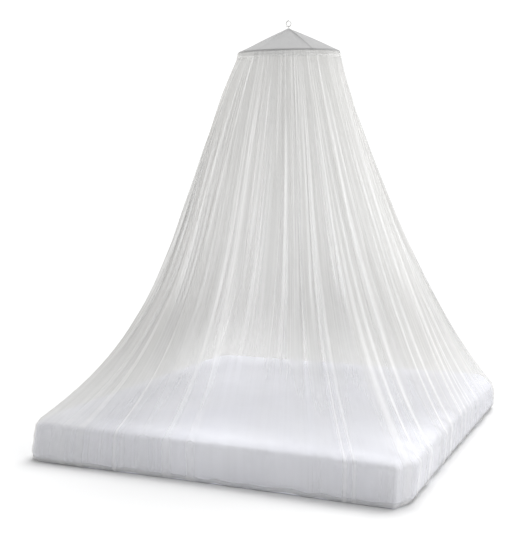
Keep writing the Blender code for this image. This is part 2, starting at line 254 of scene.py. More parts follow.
# Most pleats start at the band and reach the hem.  A pleat's sizes are drawn from these ranges.
PLEATS_PER_FOLD = 3
PLEAT_SEED = 23
PLEAT_EDGE_SHIFT = 0.28
PLEAT_HEIGHTS = (0.55, 1.35)
# A pleat's painted highlight: how much whiter its crest is painted.
PLEAT_PAINTED_HIGHLIGHTS = (0.25, 1.0)
PLEAT_WIDTHS = (0.45, 0.80)
PLEAT_SIDE_SHIFT = 0.9
PLEAT_LATE_STARTS = (0.05, 0.35)
PLEAT_LATE_ENDS = (0.55, 0.9)
PLEAT_EARLY_ENDS = (0.35, 0.8)
FROM_BAND = -1.0
TO_HEM = 2.0
COLUMNS_BETWEEN_PLEATS = 3
PLEAT_GROW_LENGTH = 0.12
PLEAT_FADE_LENGTH = 0.15
# The pleats' painted highlight fades low down and is weaker on the mattress's side.
PLEAT_HIGHLIGHT_LOSS = 0.1
SIDE_PLEAT_HIGHLIGHT = 0.60

# Across a pleat, which leans to one side: across is a share of its half width, out of its height, and
# white is its painted highlight, how much whiter that part of the pleat is painted.
Point = namedtuple("Point", "across out white")
PLEAT_SHAPE = (
    Point(across=-1.00, out=0.00, white=0.0),
    Point(across=-0.55, out=0.14, white=0.5),
    Point(across=-0.10, out=0.36, white=1.0),
    Point(across=0.30, out=0.50, white=1.0),
    Point(across=0.65, out=0.34, white=0.8),
    Point(across=1.00, out=0.00, white=0.0),
)

# Small waves round the bed: how many go round, and how they drift on the way down.  The wanders go
# sideways, in radians, and the ripples outwards, in metres.
Wave = namedtuple("Wave", "height count drift start")
WANDERS = (
    Wave(height=0.022, count=5, drift=2.1, start=1.3),
    Wave(height=0.012, count=13, drift=-3.0, start=0.7),
    Wave(height=0.006, count=29, drift=4.0, start=0.0),
)
RIPPLES = (
    Wave(height=0.0020, count=37, drift=9.0, start=0.0),
    Wave(height=0.0014, count=61, drift=-15.0, start=1.0),
)
SIDE_RIPPLE = 0.5

# Where the cap's cloth breaks over the hoop.  The first crease has the sewn seam.
Crease = namedtuple("Crease", "azimuth_deg rise spread_deg")
CREASES = (
    Crease(azimuth_deg=-42, rise=0.0045, spread_deg=11),
    Crease(azimuth_deg=-104, rise=0.0060, spread_deg=10),
    Crease(azimuth_deg=-164, rise=0.0035, spread_deg=15),
    Crease(azimuth_deg=139, rise=0.0030, spread_deg=16),
    Crease(azimuth_deg=78, rise=0.0035, spread_deg=15),
    Crease(azimuth_deg=18, rise=0.0030, spread_deg=16),
)
CAP_SAG = 0.002
CAP_TURNDOWN = 0.004
CAP_STAND_OFF = 0.0008
# The seam is painted darker across this width: the seam line itself, and painted shadow of the fold beside
# it.
SEAM_HALF_WIDTH = 0.0050
SEAM_RISE = 0.0012
# Painted shadow along the cap's rim, where the band goes in under its edge.
RIM_PAINTED_SHADOW = 0.45
CAP_COLUMNS = 360
CAP_CONE_ROWS = 22
# Each row over the rim: how far down it is, and how far out, as shares of the way.
CAP_RIM_ROWS = ((0.35, 0.9), (0.6, 1.0), (0.85, 1.0), (1.0, 1.0))

# The mattress cover is drawn in by small gathers under its top edge and puckered along it.
GATHER_DEPTH = 0.0040
GATHERS_START = 0.25
WIDE_PUCKER = 0.0012
FINE_PUCKER = 0.0010
PUCKER_SHARE_UP = 0.8
COVER_INSIDE_NET = 0.001
COVER_TUCK = 0.09
COVER_UNEVENNESS = 0.0004
COVER_CROWN = 0.003
HEM_FULLY_TUCKED = 0.95
COVER_COLUMNS = 960
COVER_EDGE_STEPS = 8
COVER_SIDE_STEPS = 10
# Rows of the underside and the top, as shares of the way out from the middle.
COVER_UNDERSIDE_ROWS = (0.02, 0.5, 0.85)
COVER_TOP_ROWS = (0.985, 0.96, 0.92, 0.86, 0.76, 0.62, 0.46, 0.30, 0.15, 0.02)

# Colours, each from the darker to the lighter one, and the light that comes through cloth.
# The net is white thread: the darker of its colours is painted shade among the threads.
NET_PAINTED_SHADE_AND_WHITE = ((0.455, 0.450, 0.434), (0.97, 0.967, 0.955))
NET_THROUGH = 0.24
NET_THROUGH_COLOUR = (0.66, 0.655, 0.635, 1.0)
BAND_COLOURS = ((0.72, 0.72, 0.70), (0.97, 0.97, 0.96))
# The white cap is painted grey: painted shade.
CAP_PAINTED_SHADE_COLOURS = ((0.180, 0.179, 0.180), (0.365, 0.364, 0.364))
CAP_THROUGH = 0.25
CAP_THROUGH_COLOUR = (0.75, 0.75, 0.74, 1.0)
MATTRESS_COLOURS = ((0.86, 0.868, 0.94), (0.90, 0.908, 0.97))
HOOP_COLOURS = ((0.74, 0.74, 0.73), (0.82, 0.82, 0.81))
CORD_COLOURS = ((0.74, 0.74, 0.72), (0.93, 0.93, 0.92))
RING_COLOURS = ((0.60, 0.60, 0.59), (0.72, 0.72, 0.71))
FLOOR_COLOUR = (0.71, 0.71, 0.71, 1.0)

# The studio: its lamps are large, soft and far away, each in its direction from the bed.
Lamp = namedtuple("Lamp", "name direction strength spread_deg colour")
LAMPS = (
    Lamp("top_light", (0.10, 0.42, 0.90), strength=2.9, spread_deg=45, colour=(1.0, 1.0, 1.0)),
    Lamp("right_light", (0.90, 0.02, 0.30), strength=1.30, spread_deg=60, colour=(1.0, 0.995, 0.985)),
    Lamp("left_light", (-0.94, -0.11, 0.08), strength=2.25, spread_deg=50, colour=(1.0, 0.986, 0.958)),
    Lamp("front_light", (0.74, -0.60, 0.12), strength=0.28, spread_deg=50, colour=(1.0, 1.0, 1.0)),
)
FILL_COLOUR = (0.97, 0.98, 1.0, 1)
FILL_BRIGHTNESS = 0.46
FLOOR_WIDTH = 120

CAMERA_PLACE = (1.8081, -4.5356, 1.2495)
CAMERA_TURN = 0.411
CAMERA_DIP = 0.0875
CAMERA_LENS = 64.9
CAMERA_REACH = 200
SENSOR_WIDTH = 36.0
BACKDROP_BRIGHTNESS = 1.10
SHEER_LAYERS_SEEN = 96


# -------- shader maths
class Value:
    """One socket of a finish, so that shader maths reads as plain expressions."""

    def __init__(self, finish, socket):
        self.finish = finish
        self.socket = socket

    def maths(self, operation, *values):
        return self.finish.node("ShaderNodeMath", {"operation": operation}, *values)

    def __add__(self, other):
        return self.maths("ADD", self, other)

    def __sub__(self, other):
        return self.maths("SUBTRACT", self, other)

    def __rsub__(self, other):
        return self.maths("SUBTRACT", other, self)

    def __mul__(self, other):
        return self.maths("MULTIPLY", self, other)

    __radd__ = __add__
    __rmul__ = __mul__

    def sine(self):
        return self.maths("SINE", self)

    def ramp(self, low, high, from_value=0.0, to_value=1.0):
        """A smooth step: from_value where this is under low, to_value where it is over high."""
        settings = {"interpolation_type": "SMOOTHSTEP"}
        return self.finish.node("ShaderNodeMapRange", settings, self, low, high, from_value, to_value)


class Finish:
    """One material, with its nodes made in order."""

    def __init__(self, name, **constants):
        self.material = bpy.data.materials.new(name)
        self.material.use_nodes = True
        self.tree = self.material.node_tree
        self.shader = self.tree.nodes["Principled BSDF"]
        for socket_name, value in constants.items():
            self.set(socket_name.replace("_", " "), value)

    def set(self, socket_name, value):
        self.join(self.shader.inputs[socket_name], value)

    def join(self, socket, value):
        if isinstance(value, Value):
            self.tree.links.new(value.socket, socket)
        else:
            socket.default_value = value

    def node(self, kind, settings, *values, output=0, **named):
        """Any node: its settings are made first, and then the values or links of its sockets."""
        made = self.tree.nodes.new(kind)
        for setting, value in settings.items():
            setattr(made, setting, value)
        for socket, value in zip(made.inputs, values):
            self.join(socket, value)
        for socket_name, value in named.items():
            self.join(made.inputs[socket_name], value)
        return Value(self, made.outputs[output])

    def mix(self, share, low, high):
        """A colour between two colours."""
        made = self.tree.nodes.new("ShaderNodeMix")
        made.data_type = "RGBA"
        for name, value in (("Factor_Float", share), ("A_Color", low), ("B_Color", high)):
            socket = next(item for item in made.inputs if item.identifier == name)
            self.join(socket, value if isinstance(value, (Value, float)) else (*value, 1.0))
        result = next(item for item in made.outputs if item.identifier == "Result_Color")
        return Value(self, result)

    def let_through(self, dense, share, colour):
        """Open cloth: as dense as this, and this share of its light comes through from behind."""
        behind = self.node("ShaderNodeBsdfTranslucent", {}, Color=colour)
        surface = Value(self, self.shader.outputs[0])
        cloth = self.node("ShaderNodeMixShader", {}, share, surface, behind)
        clear = self.node("ShaderNodeBsdfTransparent", {})
        shown = self.node("ShaderNodeMixShader", {}, dense, clear, cloth)
        self.join(self.tree.nodes["Material Output"].inputs["Surface"], shown)

    def uv(self):
        """The piece's own UV map, as its two coordinates."""
        place = self.node("ShaderNodeUVMap", {"uv_map": "cloth"})
        parts = self.tree.nodes.new("ShaderNodeSeparateXYZ")
        self.join(parts.inputs[0], place)
        return Value(self, parts.outputs[0]), Value(self, parts.outputs[1])

    def vector(self, x, y, z):
        return self.node("ShaderNodeCombineXYZ", {}, x, y, z)

    def object_place(self):
        return self.node("ShaderNodeTexCoord", {}, output="Object")

    def noise(self, place, scale, detail=2.0, roughness=0.5):
        named = {"Vector": place, "Scale": scale, "Detail": detail, "Roughness": roughness}
        return self.node("ShaderNodeTexNoise", {"noise_dimensions": "3D"}, **named)

    def attribute(self, name):
        return self.node("ShaderNodeAttribute", {"attribute_name": name}, output="Fac")

    def bump(self, height, strength, distance):
        named = {"Height": height, "Strength": strength, "Distance": distance}
        self.set("Normal", self.node("ShaderNodeBump", {}, **named))


def finish_net():
    """Sheer white net with fine streaks where its threads bunch, denser on the pleats and at the hem."""
    net = Finish("net_cloth", Roughness=0.85)
    around, down = net.uv()
    pleat = net.attribute("pleat")
    hem = net.attribute("hem")
    flank = net.attribute("flank")
    full = net.attribute("full")
    streaks = net.noise(net.vector(around * 190.0, down * 1.6, 0.3), 1.0, 3.0, 0.55).ramp(0.25, 0.75)
    patches = net.noise(net.vector(around * 40.0, down * 2.4, 4.7), 1.0, 1.0).ramp(0.3, 0.7)
    lines = net.noise(net.vector(around * 620.0, down * 1.3, 8.1), 1.0, 2.0, 0.5).ramp(0.42, 0.72)
    lines *= down.ramp(0.93, 0.75)
    warp_threads = (around * (NET_HEM_WIDTH * math.tau / NET_THREAD_PITCH)).sine()
    weft_threads = (down * (NET_LENGTH * math.tau / NET_THREAD_PITCH)).sine()
    threads = warp_threads * 0.5 + weft_threads * 0.5
    # The net is gathered closer towards the band, and opens out low down.
    gathers = down.ramp(0.55, 0.0) * 0.12 - down.ramp(0.66, 0.88) * 0.24
    cloth = streaks * 0.03 + patches * 0.04 + lines * 0.05 + hem * 0.25 + threads * 0.02
    cloth += gathers + NET_DENSITY
    pleat_fullness = pleat * down.ramp(0.60, 0.86, -0.30, 0.90)
    dense = cloth * full * (1 - flank * NET_FLANK_THINNING) * (1 + pleat_fullness)
    # The pleats are painted whiter, a painted highlight on their crests; the streaks, patches, lines and
    # hem are the cloth's own tone.
    tone_and_painted_light = streaks * 0.10 + patches * 0.06 + lines * 0.13 + pleat * 0.78 + hem * 0.25
    # Painted shade: the net is painted darker low down than high up.
    tone_and_painted_light += down.ramp(0.78, 0.35) * 0.20
    # The net's grey is painted shade among its white threads.
    net.set("Base Color", net.mix(tone_and_painted_light, *NET_PAINTED_SHADE_AND_WHITE))
    net.let_through(dense, NET_THROUGH, NET_THROUGH_COLOUR)
    net.bump(threads + streaks, 0.15, 0.0005)
    return net.material


def finish_band():
    """The heading band's sheer doubled net, with a light line of stitching near its lower edge."""
    band = Finish("heading_net", Roughness=0.85)
    around, down = band.uv()
    streaks = band.noise(band.vector(around * 160.0, down * 0.8, 1.9), 1.0, 3.0, 0.6).ramp(0.32, 0.70)
    stitching = down.ramp(0.62, 0.67) * down.ramp(0.81, 0.76)
    threads = (around * (BAND_FLAT_LENGTH * math.tau / BAND_THREAD_PITCH)).sine() * 0.5
    band.set("Alpha", streaks * 0.05 + stitching * 0.25 + BAND_DENSITY)
    band.set("Base Color", band.mix(streaks * 0.3 + stitching * 0.6, *BAND_COLOURS))
    band.bump(threads + streaks, 0.15, 0.0005)
    return band.material


def finish_cap():
    """Close-woven white cloth with a fine plain weave; its grey is painted shade."""
    cap = Finish("cap_cloth", Sheen_Weight=0.15)
    place = cap.object_place()
    cloud = cap.noise(place, 9.0, 3.0).ramp(0.3, 0.7)
    seam = cap.attribute("seam")
    weave = cap.node("ShaderNodeTexBrick", {"offset": 0.5}, Vector=place, Scale=420.0, output="Fac")
    # The seam and the rim are painted darker: painted shadow, with the seam line itself.
    shade = cloud * 0.22 - seam * 0.66 + 0.74
    cap.set("Base Color", cap.mix(shade, *CAP_PAINTED_SHADE_COLOURS))
    cap.set("Roughness", cloud * 0.1 + 0.74)
    cap.let_through(1.0, CAP_THROUGH, CAP_THROUGH_COLOUR)
    cap.bump(weave * 0.4 + cloud * 0.8, 0.3, 0.0008)
    return cap.material


def finish_mattress():
    """Smooth cotton cover, slightly blue, with soft creases."""
    cotton = Finish("mattress_cloth", Sheen_Weight=0.1)
    place = cotton.object_place()
    broad = cotton.noise(place, 3.1, 4.0, 0.55).ramp(0.3, 0.7)
    crumple = cotton.noise(place, 9.0, 2.0, 0.5)
    weave = cotton.node("ShaderNodeTexBrick", {"offset": 0.5}, Vector=place, Scale=300.0, output="Fac")
    cotton.set("Base Color", cotton.mix(broad, *MATTRESS_COLOURS))
    cotton.set("Roughness", broad * 0.06 + 0.84)
    cotton.bump(crumple + broad * 1.6 + weave * 0.05, 0.35, 0.006)
    return cotton.material


def finish_hoop():
    """White plastic tube."""
    plastic = Finish("hoop_plastic")
    cloud = plastic.noise(plastic.object_place(), 24.0, 3.0)
    plastic.set("Base Color", plastic.mix(cloud, *HOOP_COLOURS))
    plastic.set("Roughness", cloud * 0.12 + 0.36)
    plastic.bump(cloud, 0.1, 0.0004)
    return plastic.material


def finish_cord():
    """White braided cord."""
    cord = Finish("cord_white", Roughness=0.82)
    along, around = cord.uv()
    left = (along * 260.0 + around * math.tau).sine()
    right = (along * 260.0 - around * math.tau).sine()
    braid = left * 0.5 + right * 0.5
    cord.set("Base Color", cord.mix(braid.ramp(-0.6, 0.6), *CORD_COLOURS))
    cord.bump(braid, 0.5, 0.0003)
    return cord.material


def finish_ring():
    """Bright zinc-plated steel wire with fine draw marks."""
    steel = Finish("ring_steel", Metallic=0.6)
    place = steel.object_place()
    marks = steel.noise(place, 900.0, 3.0)
    cloud = steel.noise(place, 120.0, 2.0)
    steel.set("Base Color", steel.mix(cloud, *RING_COLOURS))
    steel.set("Roughness", marks * 0.16 + 0.38)
    steel.bump(marks, 0.15, 0.0001)
    return steel.material


def finish_floor():
    """Matt pale grey, which the lamps turn white."""
    floor = Finish("studio_floor", Roughness=0.9)
    floor.set("Base Color", FLOOR_COLOUR)
    return floor.material


# -------- mesh helpers
def add_piece(mesh, material):
    """The object takes its mesh's name."""
    piece = bpy.data.objects.new(mesh.name, mesh)
    bpy.context.scene.collection.objects.link(piece)
    mesh.materials.append(material)
    return piece


def all_round(columns):
    """The azimuths of this many columns side by side all round, and their places in a sheet's UV map."""
    return np.arange(columns) * (math.tau / columns), np.arange(columns + 1) / columns


def make_sheet(name, rows, columns_uv, rows_uv, attributes=()):
    """A closed-round grid of quads: rows is an array of rows x columns x 3, from top to bottom."""
    down, around = rows.shape[:2]
    index = np.arange(down * around).reshape(down, around)
    beside = np.roll(index, -1, axis=1)
    faces = np.stack([index[:-1], index[1:], beside[1:], beside[:-1]], axis=-1).reshape(-1, 4)
    mesh = bpy.data.meshes.new(name)
    mesh.from_pydata(rows.reshape(-1, 3).tolist(), [], faces.tolist())
    layer = mesh.uv_layers.new(name="cloth")
    left = np.broadcast_to(columns_uv[:around], (down, around))
    right = np.broadcast_to(columns_uv[1:], (down, around))
    high = np.broadcast_to(rows_uv[:, None], (down, around))
    corners = [
        (left[:-1], high[:-1]),
        (left[1:], high[1:]),
        (right[1:], high[1:]),
        (right[:-1], high[:-1]),
    ]
    spread = np.stack([np.stack(corner, axis=-1) for corner in corners], axis=2)
    layer.data.foreach_set("uv", spread.reshape(-1).astype(np.float32))
    for attribute_name, values in attributes:
        attribute = mesh.attributes.new(attribute_name, "FLOAT", "POINT")
        attribute.data.foreach_set("value", values.reshape(-1).astype(np.float32))
    mesh.shade_smooth()
    mesh.update()
    return mesh


def make_solid(mesh, close):
    """Closes a sheet's open ends with this step, and turns its faces outwards."""
    shape = bmesh.new()
    shape.from_mesh(mesh)
    close(shape)
    bmesh.ops.recalc_face_normals(shape, faces=shape.faces)
    for face in shape.faces:
        face.smooth = True
    shape.to_mesh(mesh)
    shape.free()


def soften_shading(mesh, smooth_normals, softness, hangs):
    """Net scatters light much the same way all over a fold, so its normals lean to the whole net's.

    The attribute "flank" is 0 where the cloth faces out and 1 on the steep side of a hanging fold."""
    own = np.empty(len(mesh.vertices) * 3, np.float32)
    mesh.vertex_normals.foreach_get("vector", own)
    own = own.reshape(-1, 3)
    facing = np.sign((own * smooth_normals).sum(axis=1))[:, None]
    normals = smooth_normals * softness + own * facing * (1 - softness)
    normals /= np.linalg.norm(normals, axis=1)[:, None]
    mesh.normals_split_custom_set_from_vertices(normals.tolist())
    flank = mesh.attributes.new("flank", "FLOAT", "POINT")
    flank.data.foreach_set("value", (1 - (own * smooth_normals).sum(axis=1) ** 2) * hangs)


def at_hoop(radius, azimuth, rise):
    """Points given by radius, azimuth and rise over the hoop's centre, as the hoop hangs tilted."""
    radius, azimuth, rise = np.broadcast_arrays(radius, azimuth, rise)
    axis = Vector((-math.sin(HOOP_TILT_TOWARDS), math.cos(HOOP_TILT_TOWARDS), 0))
    tilt = np.array(Matrix.Rotation(HOOP_TILT, 3, axis))
    below = np.stack([radius * np.cos(azimuth), radius * np.sin(azimuth), rise - CAP_HEIGHT], axis=-1)
    return below @ tilt.T + np.array(CAP_TIP)


def mattress_reach(azimuth, grow, rise_angle=0.0):
    """How far the mattress's outline, grown by this much, is from its middle in each direction.

    Its corners get rounder with the rise angle, which goes from 0 to 90 degrees round its top edge."""
    crisp = np.cos(azimuth - CRISP_CORNER) > math.cos(CRISP_CORNER_SPAN)
    softness = np.where(crisp, CRISP_CORNER_SOFTNESS, MATTRESS_TOP_CORNER_SOFTNESS)
    across = np.abs(np.cos(azimuth))
    along = np.abs(np.sin(azimuth))
    half_width = MATTRESS_WIDTH / 2 + grow
    half_length = MATTRESS_LENGTH / 2 + grow
    corner = np.where(crisp, CRISP_CORNER_RADIUS, MATTRESS_CORNER_RADIUS)
    radius = corner + grow + softness * max(0.0, math.sin(rise_angle)) ** 2
    reach = np.minimum(half_width / np.maximum(across, TINY), half_length / np.maximum(along, TINY))
    off_cut = np.maximum(np.cos(azimuth - CORNER_CUT_FACING), CORNER_CUT_LEAST_COSINE)
    cut = np.where(crisp, (CORNER_CUT_REACH + grow) / off_cut, NO_CUT_REACH)
    corner_x = half_width - radius
    corner_y = half_length - radius
    on_corner = (reach * across > corner_x) & (reach * along > corner_y)
    nearest = corner_x * across + corner_y * along
    inside = np.maximum(nearest**2 - corner_x**2 - corner_y**2 + radius**2, 0.0)
    return np.minimum(np.where(on_corner, nearest + np.sqrt(inside), reach), cut)


def on_side(azimuth, grow, height, rise_angle=0.0):
    """Points beside the mattress, this far off its outline and this high."""
    reach = mattress_reach(azimuth, grow, rise_angle)
    height = np.broadcast_to(height, reach.shape)
    return np.stack([reach * np.cos(azimuth), reach * np.sin(azimuth), height], axis=-1)


def over_edge(angle, soft, clear=0.0):
    """How far out and how high the mattress's soft top edge is at this angle, or this far clear of it."""
    edge_height = MATTRESS_EDGE_HEIGHT * soft
    facing_out = edge_height * math.cos(angle)
    facing_up = MATTRESS_EDGE_DEPTH * math.sin(angle)
    off = clear / np.hypot(facing_out, facing_up)
    out = MATTRESS_EDGE_DEPTH * (math.cos(angle) - 1) + off * facing_out
    height = MATTRESS_THICKNESS + edge_height * (math.sin(angle) - 1) + off * facing_up
    return out, height


def under_edge(height, radius=MATTRESS_EDGE_RADIUS):
    """How far in the mattress's rounded bottom edge is at this height."""
    below = np.clip(radius - height, 0.0, radius)
    return np.sqrt(radius**2 - below**2) - radius


# -------- the net
def list_folds():
    """For each big fold: where it starts and ends, its share of the depth, its sway and its section."""
    draw = random.Random(FOLD_SEED)
    ends = [section.start_deg for section in SECTIONS[1:]] + [SECTIONS[0].start_deg + 360]
    folds = []
    for section, end in zip(SECTIONS, ends):
        widths = [1 + FOLD_WIDTH_SPREAD * draw.uniform(-1, 1) for _ in range(section.folds)]
        start = math.radians(section.start_deg)
        per_share = math.radians(end - section.start_deg) / sum(widths)
        for width in widths:
            depth = 1 + FOLD_DEPTH_SPREAD * draw.uniform(-1, 1)
            sway = FOLD_SWAY * draw.uniform(-1, 1)
            folds.append((start, start + width * per_share, depth, sway, section))
            start += width * per_share
    return folds


# A column's white is the painted highlight of its pleat.
Column = namedtuple("Column", "azimuth ridge depth sway hang side out white starts ends")


def list_columns():
    """The net's columns side by side: each is on a big fold, and most are on a pleat of it too."""
    draw = random.Random(PLEAT_SEED)
    usual_width = math.tau / sum(section.folds for section in SECTIONS)
    columns = []
    for start, end, depth, sway, section in list_folds():
        depth *= min(1.0, (end - start) / usual_width)
        edges = [0.0]
        for pleat in range(PLEATS_PER_FOLD):
            shift = draw.uniform(-PLEAT_EDGE_SHIFT, PLEAT_EDGE_SHIFT)
            edges.append((pleat + 1 + shift) / PLEATS_PER_FOLD)
        edges[-1] = 1.0
        for low, high in zip(edges, edges[1:]):
            room = (high - low) / 2
            height = draw.uniform(*PLEAT_HEIGHTS) * min(1.0, room * PLEATS_PER_FOLD * 2)
            lean = draw.choice((-1, 1))
            # How much whiter this pleat's crest is painted: a painted highlight.
            white = draw.uniform(*PLEAT_PAINTED_HIGHLIGHTS) ** 1.5
            late_start = draw.uniform(*PLEAT_LATE_STARTS)
            starts = draw.choice((FROM_BAND, FROM_BAND, FROM_BAND, late_start))
            late_end = draw.uniform(*PLEAT_LATE_ENDS)
            early_end = draw.uniform(*PLEAT_EARLY_ENDS)
            ends = draw.choice((TO_HEM, TO_HEM, late_end, early_end))
            half = room * draw.uniform(*PLEAT_WIDTHS)
            middle = (low + high) / 2 + draw.uniform(-1, 1) * (room - half) * PLEAT_SIDE_SHIFT
            shape = PLEAT_SHAPE if lean > 0 else PLEAT_SHAPE[::-1]
            spots = []
            for point in shape:
                spots.append((middle + point.across * lean * half, point.out * height, point.white))
            first, last = spots[0][0], spots[-1][0]
            for step in range(COLUMNS_BETWEEN_PLEATS):
                share = step / COLUMNS_BETWEEN_PLEATS
                spots.insert(step, (low + (first - low) * share, 0.0, 0.0))
            for step in range(1, COLUMNS_BETWEEN_PLEATS):
                share = step / COLUMNS_BETWEEN_PLEATS
                spots.append((last + (high - last) * share, 0.0, 0.0))
            # Each spot's third value is the pleat's painted highlight there.
            for place, out, dense in spots:
                ridge = 0.5 - 0.5 * math.cos(math.tau * place)
                azimuth = start + (end - start) * place
                columns.append(
                    Column(
                        azimuth, ridge, depth, sway, section.hang_share, section.side_depth,
                        out, dense * white, starts, ends,
                    )
                )
    return Column(*(np.array(values, dtype=float) for values in zip(*columns)))


def direction_at(azimuth):
    """How the net falls at each azimuth, eased from one of the directions to the next."""
    first = DIRECTIONS[0].azimuth_deg
    starts = np.array([row.azimuth_deg - first for row in DIRECTIONS] + [360.0])
    rows = np.array(DIRECTIONS + DIRECTIONS[:1], dtype=float)
    turned = (np.degrees(azimuth) - first) % 360
    here = np.searchsorted(starts, turned, side="right") - 1
    share = (turned - starts[here]) / (starts[here + 1] - starts[here])
    share = (share * share * (3 - 2 * share))[:, None]
    return Direction(*((1 - share) * rows[here] + share * rows[here + 1]).T)


def bell(drop, row):
    """How far out the net has spread, 0 to 1, once it has dropped this share of its way down."""
    return (row.even * drop + (1 - row.even) * drop**row.late) ** row.bow


def add_waves(waves, azimuth, down):
    return sum(
        wave.height * np.sin(wave.count * azimuth + wave.start + wave.drift * down) for wave in waves
    )


def wander(azimuth, down):
    """How the fine folds drift sideways on their way down, in radians."""
    return add_waves(WANDERS, azimuth, down) * math.sin(min(down, 0.5) * math.pi)


def ripple(azimuth, down):
    """Small unevenness of the hanging cloth, in metres."""
    return add_waves(RIPPLES, azimuth, down)


def fade(columns, down):
    """Where each pleat starts and dies out on the way down."""
    grows = np.clip((down - columns.starts) / PLEAT_GROW_LENGTH, 0, 1)
    dies = np.clip((columns.ends - down) / PLEAT_FADE_LENGTH, 0, 1)
    share = grows * dies
    return share * share * (3 - 2 * share)


def hang_row(columns, drop):
    """One row of the net between the band and the mattress's edge, once it has dropped this share."""
    drops, depths, pleats = zip(*FALLS)
    strength = fade(columns, drop)
    azimuth = columns.azimuth + wander(columns.azimuth, drop)
    height = np.interp(drop, drops, pleats) * strength
    row = direction_at(azimuth)

    top_radius = BAND_TOP_RADIUS + BAND_FLARE - NET_TOP_INSET
    start = at_hoop(top_radius, azimuth, HOOP_TUBE_RADIUS - BAND_HEIGHT)
    land_grow, land_height = over_edge(NET_LANDING_ANGLE, row.soft, NET_CLEARANCE)
    end = on_side(azimuth, land_grow, land_height, NET_LANDING_ANGLE)
    across = (end - start) * (1, 1, 0)
    length = np.linalg.norm(across, axis=1)
    forward = across / length[:, None]
    sideways = np.stack([-forward[:, 1], forward[:, 0], np.zeros(len(length))], axis=1)
    fall = start[:, 2] - end[:, 2]
    spread = bell(drop, row)
    slope = (bell(drop + SLOPE_STEP, row) - spread) / SLOPE_STEP
    outward = forward * fall[:, None]
    outward[:, 2] = length * slope
    outward /= np.linalg.norm(outward, axis=1)[:, None]
    depth = np.interp(drop, drops, depths)
    ridge = FOLD_EASE * columns.ridge + 0.5 * (1 - FOLD_EASE)
    lift = depth * (columns.depth * columns.hang * ridge + row.swell)
    lift += columns.out * height + ripple(azimuth, drop) * math.sin(math.pi * min(1.0, drop))
    sway = columns.sway * columns.ridge * math.sin(math.pi * drop)
    points = start + across * spread[:, None]
    points[:, 2] -= fall * drop
    points = points + outward * lift[:, None] + sideways * sway[:, None]
    # The middle value is the pleats' painted highlight, fading low down.
    return points, columns.white * strength * (1 - PLEAT_HIGHLIGHT_LOSS * drop**3), outward


def side_normal(azimuth, rise_angle):
    """Which way the mattress's side faces in each direction, tipped up by this angle."""
    ahead = on_side(azimuth + TURN_STEP, 0.0, 0.0)
    behind = on_side(azimuth - TURN_STEP, 0.0, 0.0)
    along = ahead - behind
    along /= np.linalg.norm(along, axis=1)[:, None]
    tip = np.full(len(azimuth), math.tan(max(-STEEPEST_TIP, min(STEEPEST_TIP, rise_angle))))
    normal = np.stack([along[:, 1], -along[:, 0], tip], axis=1)
    return normal / np.linalg.norm(normal, axis=1)[:, None]


def side_row(columns, angle, share_down, turned_in):
    """One row round the mattress's top edge, down its side or in under its base.

    angle is how far up round the top edge the row is, share_down goes from the top edge to where the hem
    turns in, and turned_in from there to the hem's end."""
    strength = fade(columns, 1.0)
    azimuth = columns.azimuth + wander(columns.azimuth, 1.0)
    row = direction_at(azimuth)
    height = SIDE_PLEAT * strength * (1 - SIDE_PLEAT_LOSS * share_down)
    pleat = columns.out * height
    side = columns.side * columns.depth * columns.ridge
    lift = row.lift * columns.depth * columns.ridge
    top_grow = NET_CLEARANCE + side + row.top_out
    turn_grow = NET_SIDE_CLEARANCE + side * SIDE_FOLD_AT_TURN + row.base_out
    turn_height = NET_HEM_TURN_HEIGHT + lift
    middle = MATTRESS_THICKNESS - MATTRESS_EDGE_HEIGHT * row.soft
    if angle > 0:
        grow, rise = over_edge(angle, row.soft, NET_CLEARANCE)
        grow = grow + (side + row.top_out) * math.cos(angle)
    elif turned_in == 0:
        grow = top_grow + (turn_grow - top_grow) * share_down
        rise = middle + (turn_height - middle) * share_down
    else:
        rise = turn_height + (NET_HEM_END_HEIGHT - NET_HEM_TURN_HEIGHT) * turned_in
        grow = turn_grow + under_edge(rise) * row.tuck - side * HEM_FOLD_LOSS * turned_in
    grow = grow + pleat + SIDE_RIPPLE * ripple(azimuth, 1 + share_down + turned_in)
    outward = side_normal(azimuth, angle - turned_in)
    # The middle value is the pleats' painted highlight beside the mattress.
    return on_side(azimuth, grow, rise, angle), columns.white * strength * SIDE_PLEAT_HIGHLIGHT, outward


